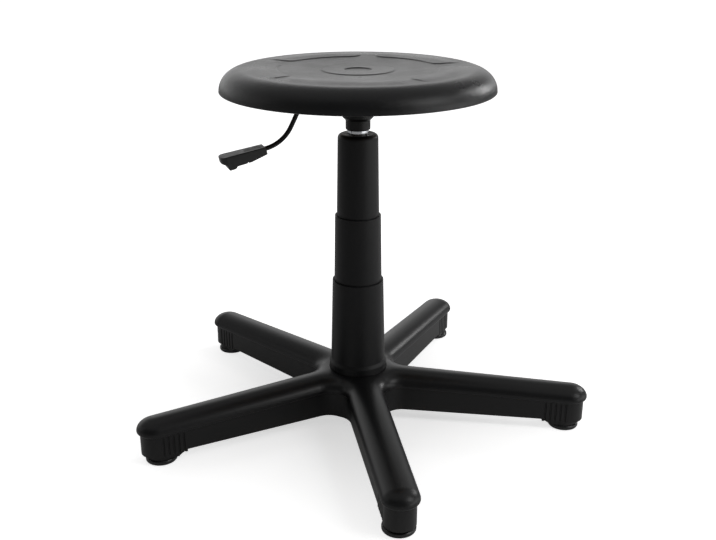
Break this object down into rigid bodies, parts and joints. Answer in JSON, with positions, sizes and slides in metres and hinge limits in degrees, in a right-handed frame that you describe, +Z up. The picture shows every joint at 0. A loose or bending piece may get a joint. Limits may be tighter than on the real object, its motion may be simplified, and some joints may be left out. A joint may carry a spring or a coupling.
{
  "type": "workshop stool",
  "caption": "Backless swivel stool: round moulded seat on a gas lift with telescopic cover, side lever and a star base on plastic glides.",
  "frame": {"origin": "on the floor, on the swivel axis of the seat", "axes": "+Z up along the swivel axis; one arm of the base points along -Y"},
  "size_m": [0.6058, 0.5783, 0.4857],
  "materials": {
    "seat_skin": "satin integral skin of soft polyurethane foam",
    "plywood": "sanded beech plywood",
    "star_nylon": "satin glass-filled nylon, injection moulded",
    "cover_plastic": "fine-grained black polypropylene",
    "grip_plastic": "moulded black nylon",
    "glide_plastic": "polished black nylon",
    "black_steel": "satin black powder coat on steel",
    "cylinder_chrome": "ground and hard-chromed steel",
    "ground_steel": "ground steel",
    "zinc_steel": "bright zinc plating",
    "spring_steel": "blued spring steel",
    "acetal": "natural acetal",
    "seal_rubber": "nitrile rubber",
    "turned_aluminium": "turned aluminium"
  },
  "bodies": {
    "base": {"base_star": "star_nylon", "hub_ring": "zinc_steel", "glide_foot_1": "glide_plastic", "glide_foot_2": "glide_plastic", "glide_foot_3": "glide_plastic", "glide_foot_4": "glide_plastic", "glide_foot_5": "glide_plastic", "glide_stem_1": "zinc_steel", "glide_stem_2": "zinc_steel", "glide_stem_3": "zinc_steel", "glide_stem_4": "zinc_steel", "glide_stem_5": "zinc_steel", "stem_grip_rings": "spring_steel", "column_tube": "black_steel", "guide_bush": "acetal", "cover_lower": "cover_plastic", "bearing_lower_race": "ground_steel", "bearing_balls": "ground_steel", "bearing_cage": "acetal"},
    "rod": {"piston_rod": "ground_steel", "piston": "turned_aluminium", "piston_ring": "seal_rubber", "bearing_upper_race": "ground_steel", "bump_stop": "seal_rubber", "clip_washer": "zinc_steel", "rod_clip": "spring_steel"},
    "lift": {"gas_cylinder": "cylinder_chrome", "cylinder_end_guide": "acetal", "rod_seal": "seal_rubber", "valve_body": "turned_aluminium", "cover_upper": "cover_plastic", "taper_socket": "black_steel", "mechanism_housing": "black_steel", "mounting_plate": "black_steel", "pivot_pin": "zinc_steel", "seat_board": "plywood", "tee_nuts": "zinc_steel", "mounting_bolts": "zinc_steel", "mounting_washers": "zinc_steel", "seat_shell": "seat_skin"},
    "cover_mid": {"cover_middle": "cover_plastic"},
    "lever": {"lever_rod": "black_steel", "lever_grip": "grip_plastic"},
    "button": {"release_pin": "ground_steel"}
  },
  "joints": [
    {"name": "seat_swivel", "type": "hinge", "parent": "base", "child": "rod", "pos_m": [0, 0, 0], "axis": [0, 0, 1], "continuous": true},
    {"name": "seat_lift", "type": "slide", "parent": "rod", "child": "lift", "axis": [0, 0, 1], "range_m": [-0.13, 0]},
    {"name": "cover_slide", "type": "slide", "parent": "base", "child": "cover_mid", "axis": [0, 0, 1], "range_m": [-0.065, 0]},
    {"name": "lever_pivot", "type": "hinge", "parent": "lift", "child": "lever", "pos_m": [-0.02654, -0.00497, 0.44], "axis": [-0.184, 0.9829, 0], "range_deg": [0, 8], "stiffness_Nm_per_rad": 2, "springref_deg": -5.73},
    {"name": "button_press", "type": "slide", "parent": "lift", "child": "button", "axis": [0, 0, -1], "range_m": [0, 0.0042]}
  ],
  "couplings": [
    {"joint": "cover_slide", "follows": "seat_lift", "ratio": 0.5},
    {"joint": "button_press", "follows": "lever_pivot", "m_per_rad": 0.0285}
  ]
}
